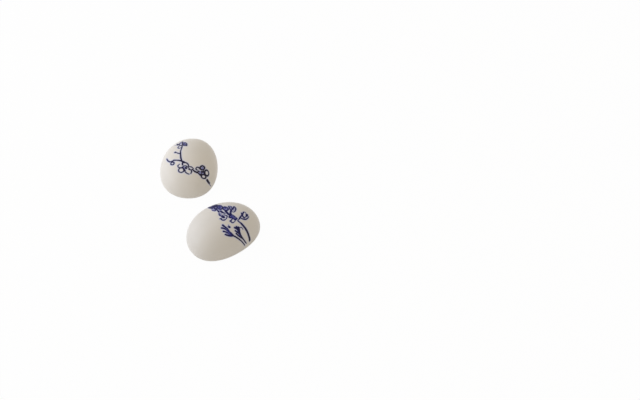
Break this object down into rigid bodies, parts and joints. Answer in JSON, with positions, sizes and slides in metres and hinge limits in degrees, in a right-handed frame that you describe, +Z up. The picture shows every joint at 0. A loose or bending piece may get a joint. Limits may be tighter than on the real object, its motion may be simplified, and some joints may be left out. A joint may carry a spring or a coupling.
{
  "type": "chopstick rest set",
  "caption": "Pebble-shaped chopstick rests in glazed white porcelain with painted blue blossom sprays, hollow underneath and standing on an unglazed foot rim.",
  "frame": {"origin": "middle of the set's bounding box, on the table that it stands on", "axes": "+Z up; +Y from the front rest towards the rear one; +X to the right as the picture shows the set"},
  "size_m": [0.0738, 0.1074, 0.022],
  "materials": {
    "porcelain": "white satin glaze with cobalt blue painting; bare fired porcelain at the foot and inside"
  },
  "bodies": {
    "root": {"rear_rest": "porcelain", "front_rest": "porcelain"}
  },
  "joints": []
}
